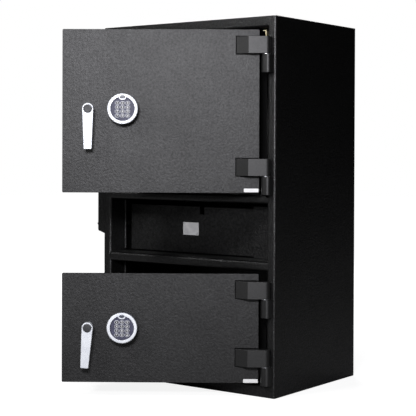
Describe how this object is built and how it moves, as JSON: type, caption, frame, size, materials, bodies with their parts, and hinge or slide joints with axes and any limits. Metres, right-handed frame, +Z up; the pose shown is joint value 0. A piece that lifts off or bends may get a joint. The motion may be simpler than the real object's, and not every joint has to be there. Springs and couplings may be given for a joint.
{
  "type": "drop safe with deposit drawer",
  "caption": "Upright steel cabinet safe with keypad-locked doors above and below a recessed bay that holds a deposit drawer.",
  "frame": {"origin": "centre of the cabinet's underside, on the floor, without the doors and the side lock", "axes": "+Z up, -Y out of the front, +X towards the hinged side"},
  "size_m": [0.6316, 0.741, 1.016],
  "materials": {
    "powder_coat": "fine-textured black powder coat",
    "inner_coat": "matt black paint",
    "satin_chrome": "satin",
    "zinc_steel": "zinc plated",
    "keypad_plastic": "matt",
    "key_rubber": "matt",
    "brass": "satin"
  },
  "bodies": {
    "cabinet": {"safe_shell": "powder_coat", "back_panel": "powder_coat", "return_frame": "powder_coat", "upper_shelf": "inner_coat", "bay_floor": "inner_coat", "bay_filler": "powder_coat", "side_lock_housing": "powder_coat", "upper_hinge_knuckle_1": "powder_coat", "upper_hinge_knuckle_2": "powder_coat", "lower_hinge_knuckle_1": "powder_coat", "lower_hinge_knuckle_2": "powder_coat"},
    "drawer": {"drawer_front": "powder_coat", "drawer_box": "inner_coat"},
    "side_lock": {"side_lock_plug": "brass"},
    "upper_door": {"upper_door_plate": "powder_coat", "upper_door_pan": "inner_coat", "upper_hinge_arm_1": "powder_coat", "upper_hinge_arm_2": "powder_coat", "upper_lock_case": "zinc_steel", "upper_keypad_housing": "keypad_plastic", "upper_keypad_ring": "satin_chrome"},
    "upper_handle": {"upper_handle_lever": "satin_chrome", "upper_handle_spindle": "zinc_steel"},
    "upper_bolts": {"upper_bolt_carriage": "zinc_steel"},
    "upper_lock_tongue": {"upper_lock_bolt": "brass"},
    "upper_key_1_cap": {"upper_key_1": "key_rubber"},
    "upper_key_2_cap": {"upper_key_2": "key_rubber"},
    "upper_key_3_cap": {"upper_key_3": "key_rubber"},
    "upper_key_4_cap": {"upper_key_4": "key_rubber"},
    "upper_key_5_cap": {"upper_key_5": "key_rubber"},
    "upper_key_6_cap": {"upper_key_6": "key_rubber"},
    "upper_key_7_cap": {"upper_key_7": "key_rubber"},
    "upper_key_8_cap": {"upper_key_8": "key_rubber"},
    "upper_key_9_cap": {"upper_key_9": "key_rubber"},
    "upper_key_star_cap": {"upper_key_star": "key_rubber"},
    "upper_key_0_cap": {"upper_key_0": "key_rubber"},
    "upper_key_hash_cap": {"upper_key_hash": "key_rubber"},
    "lower_door": {"lower_door_plate": "powder_coat", "lower_door_pan": "inner_coat", "lower_hinge_arm_1": "powder_coat", "lower_hinge_arm_2": "powder_coat", "lower_lock_case": "zinc_steel", "lower_keypad_housing": "keypad_plastic", "lower_keypad_ring": "satin_chrome"},
    "lower_handle": {"lower_handle_lever": "satin_chrome", "lower_handle_spindle": "zinc_steel"},
    "lower_bolts": {"lower_bolt_carriage": "zinc_steel"},
    "lower_lock_tongue": {"lower_lock_bolt": "brass"},
    "lower_key_1_cap": {"lower_key_1": "key_rubber"},
    "lower_key_2_cap": {"lower_key_2": "key_rubber"},
    "lower_key_3_cap": {"lower_key_3": "key_rubber"},
    "lower_key_4_cap": {"lower_key_4": "key_rubber"},
    "lower_key_5_cap": {"lower_key_5": "key_rubber"},
    "lower_key_6_cap": {"lower_key_6": "key_rubber"},
    "lower_key_7_cap": {"lower_key_7": "key_rubber"},
    "lower_key_8_cap": {"lower_key_8": "key_rubber"},
    "lower_key_9_cap": {"lower_key_9": "key_rubber"},
    "lower_key_star_cap": {"lower_key_star": "key_rubber"},
    "lower_key_0_cap": {"lower_key_0": "key_rubber"},
    "lower_key_hash_cap": {"lower_key_hash": "key_rubber"}
  },
  "joints": [
    {"name": "door_upper_swing", "type": "hinge", "parent": "cabinet", "child": "upper_door", "pos_m": [0.2795, -0.2235, 0.76225], "axis": [0, 0, 1], "range_deg": [-35.6, 98]},
    {"name": "door_lower_swing", "type": "hinge", "parent": "cabinet", "child": "lower_door", "pos_m": [0.2795, -0.2235, 0.18475], "axis": [0, 0, 1], "range_deg": [-35.6, 98]},
    {"name": "handle_upper_turn", "type": "hinge", "parent": "upper_door", "child": "upper_handle", "pos_m": [-0.10937, -0.48653, 0.76675], "axis": [-0.5821, 0.8131, 0], "range_deg": [0, 90]},
    {"name": "handle_lower_turn", "type": "hinge", "parent": "lower_door", "child": "lower_handle", "pos_m": [-0.10937, -0.48653, 0.18925], "axis": [-0.5821, 0.8131, 0], "range_deg": [-4, 86]},
    {"name": "deposit_drawer_slide", "type": "slide", "parent": "cabinet", "child": "drawer", "axis": [0, -1, 0], "range_m": [0, 0.235]},
    {"name": "drawer_lock_turn", "type": "hinge", "parent": "cabinet", "child": "side_lock", "pos_m": [-0.301, -0.117, 0.441], "axis": [-1, 0, 0], "range_deg": [0, 90]},
    {"name": "bolts_upper_slide", "type": "slide", "parent": "upper_door", "child": "upper_bolts", "axis": [-0.8131, -0.5821, 0], "range_m": [0, 0.028]},
    {"name": "tongue_upper_slide", "type": "slide", "parent": "upper_door", "child": "upper_lock_tongue", "axis": [-0.8131, -0.5821, 0], "range_m": [0, 0.026]},
    {"name": "bolts_lower_slide", "type": "slide", "parent": "lower_door", "child": "lower_bolts", "axis": [-0.8131, -0.5821, 0], "range_m": [-0.00125, 0.02676]},
    {"name": "tongue_lower_slide", "type": "slide", "parent": "lower_door", "child": "lower_lock_tongue", "axis": [-0.8131, -0.5821, 0], "range_m": [-0.00116, 0.02484]},
    {"name": "key_upper_1_press", "type": "slide", "parent": "upper_door", "child": "upper_key_1_cap", "axis": [-0.5821, 0.8131, 0], "range_m": [0, 0.001], "stiffness_N_per_m": 800},
    {"name": "key_upper_2_press", "type": "slide", "parent": "upper_door", "child": "upper_key_2_cap", "axis": [-0.5821, 0.8131, 0], "range_m": [0, 0.001], "stiffness_N_per_m": 800},
    {"name": "key_upper_3_press", "type": "slide", "parent": "upper_door", "child": "upper_key_3_cap", "axis": [-0.5821, 0.8131, 0], "range_m": [0, 0.001], "stiffness_N_per_m": 800},
    {"name": "key_upper_4_press", "type": "slide", "parent": "upper_door", "child": "upper_key_4_cap", "axis": [-0.5821, 0.8131, 0], "range_m": [0, 0.001], "stiffness_N_per_m": 800},
    {"name": "key_upper_5_press", "type": "slide", "parent": "upper_door", "child": "upper_key_5_cap", "axis": [-0.5821, 0.8131, 0], "range_m": [0, 0.001], "stiffness_N_per_m": 800},
    {"name": "key_upper_6_press", "type": "slide", "parent": "upper_door", "child": "upper_key_6_cap", "axis": [-0.5821, 0.8131, 0], "range_m": [0, 0.001], "stiffness_N_per_m": 800},
    {"name": "key_upper_7_press", "type": "slide", "parent": "upper_door", "child": "upper_key_7_cap", "axis": [-0.5821, 0.8131, 0], "range_m": [0, 0.001], "stiffness_N_per_m": 800},
    {"name": "key_upper_8_press", "type": "slide", "parent": "upper_door", "child": "upper_key_8_cap", "axis": [-0.5821, 0.8131, 0], "range_m": [0, 0.001], "stiffness_N_per_m": 800},
    {"name": "key_upper_9_press", "type": "slide", "parent": "upper_door", "child": "upper_key_9_cap", "axis": [-0.5821, 0.8131, 0], "range_m": [0, 0.001], "stiffness_N_per_m": 800},
    {"name": "key_upper_star_press", "type": "slide", "parent": "upper_door", "child": "upper_key_star_cap", "axis": [-0.5821, 0.8131, 0], "range_m": [0, 0.001], "stiffness_N_per_m": 800},
    {"name": "key_upper_0_press", "type": "slide", "parent": "upper_door", "child": "upper_key_0_cap", "axis": [-0.5821, 0.8131, 0], "range_m": [0, 0.001], "stiffness_N_per_m": 800},
    {"name": "key_upper_hash_press", "type": "slide", "parent": "upper_door", "child": "upper_key_hash_cap", "axis": [-0.5821, 0.8131, 0], "range_m": [0, 0.001], "stiffness_N_per_m": 800},
    {"name": "key_lower_1_press", "type": "slide", "parent": "lower_door", "child": "lower_key_1_cap", "axis": [-0.5821, 0.8131, 0], "range_m": [0, 0.001], "stiffness_N_per_m": 800},
    {"name": "key_lower_2_press", "type": "slide", "parent": "lower_door", "child": "lower_key_2_cap", "axis": [-0.5821, 0.8131, 0], "range_m": [0, 0.001], "stiffness_N_per_m": 800},
    {"name": "key_lower_3_press", "type": "slide", "parent": "lower_door", "child": "lower_key_3_cap", "axis": [-0.5821, 0.8131, 0], "range_m": [0, 0.001], "stiffness_N_per_m": 800},
    {"name": "key_lower_4_press", "type": "slide", "parent": "lower_door", "child": "lower_key_4_cap", "axis": [-0.5821, 0.8131, 0], "range_m": [0, 0.001], "stiffness_N_per_m": 800},
    {"name": "key_lower_5_press", "type": "slide", "parent": "lower_door", "child": "lower_key_5_cap", "axis": [-0.5821, 0.8131, 0], "range_m": [0, 0.001], "stiffness_N_per_m": 800},
    {"name": "key_lower_6_press", "type": "slide", "parent": "lower_door", "child": "lower_key_6_cap", "axis": [-0.5821, 0.8131, 0], "range_m": [0, 0.001], "stiffness_N_per_m": 800},
    {"name": "key_lower_7_press", "type": "slide", "parent": "lower_door", "child": "lower_key_7_cap", "axis": [-0.5821, 0.8131, 0], "range_m": [0, 0.001], "stiffness_N_per_m": 800},
    {"name": "key_lower_8_press", "type": "slide", "parent": "lower_door", "child": "lower_key_8_cap", "axis": [-0.5821, 0.8131, 0], "range_m": [0, 0.001], "stiffness_N_per_m": 800},
    {"name": "key_lower_9_press", "type": "slide", "parent": "lower_door", "child": "lower_key_9_cap", "axis": [-0.5821, 0.8131, 0], "range_m": [0, 0.001], "stiffness_N_per_m": 800},
    {"name": "key_lower_star_press", "type": "slide", "parent": "lower_door", "child": "lower_key_star_cap", "axis": [-0.5821, 0.8131, 0], "range_m": [0, 0.001], "stiffness_N_per_m": 800},
    {"name": "key_lower_0_press", "type": "slide", "parent": "lower_door", "child": "lower_key_0_cap", "axis": [-0.5821, 0.8131, 0], "range_m": [0, 0.001], "stiffness_N_per_m": 800},
    {"name": "key_lower_hash_press", "type": "slide", "parent": "lower_door", "child": "lower_key_hash_cap", "axis": [-0.5821, 0.8131, 0], "range_m": [0, 0.001], "stiffness_N_per_m": 800}
  ],
  "couplings": [
    {"joint": "bolts_upper_slide", "follows": "handle_upper_turn", "m_per_rad": 0.017825},
    {"joint": "tongue_upper_slide", "follows": "handle_upper_turn", "m_per_rad": 0.016552},
    {"joint": "bolts_lower_slide", "follows": "handle_lower_turn", "m_per_rad": 0.017825},
    {"joint": "tongue_lower_slide", "follows": "handle_lower_turn", "m_per_rad": 0.016552}
  ]
}
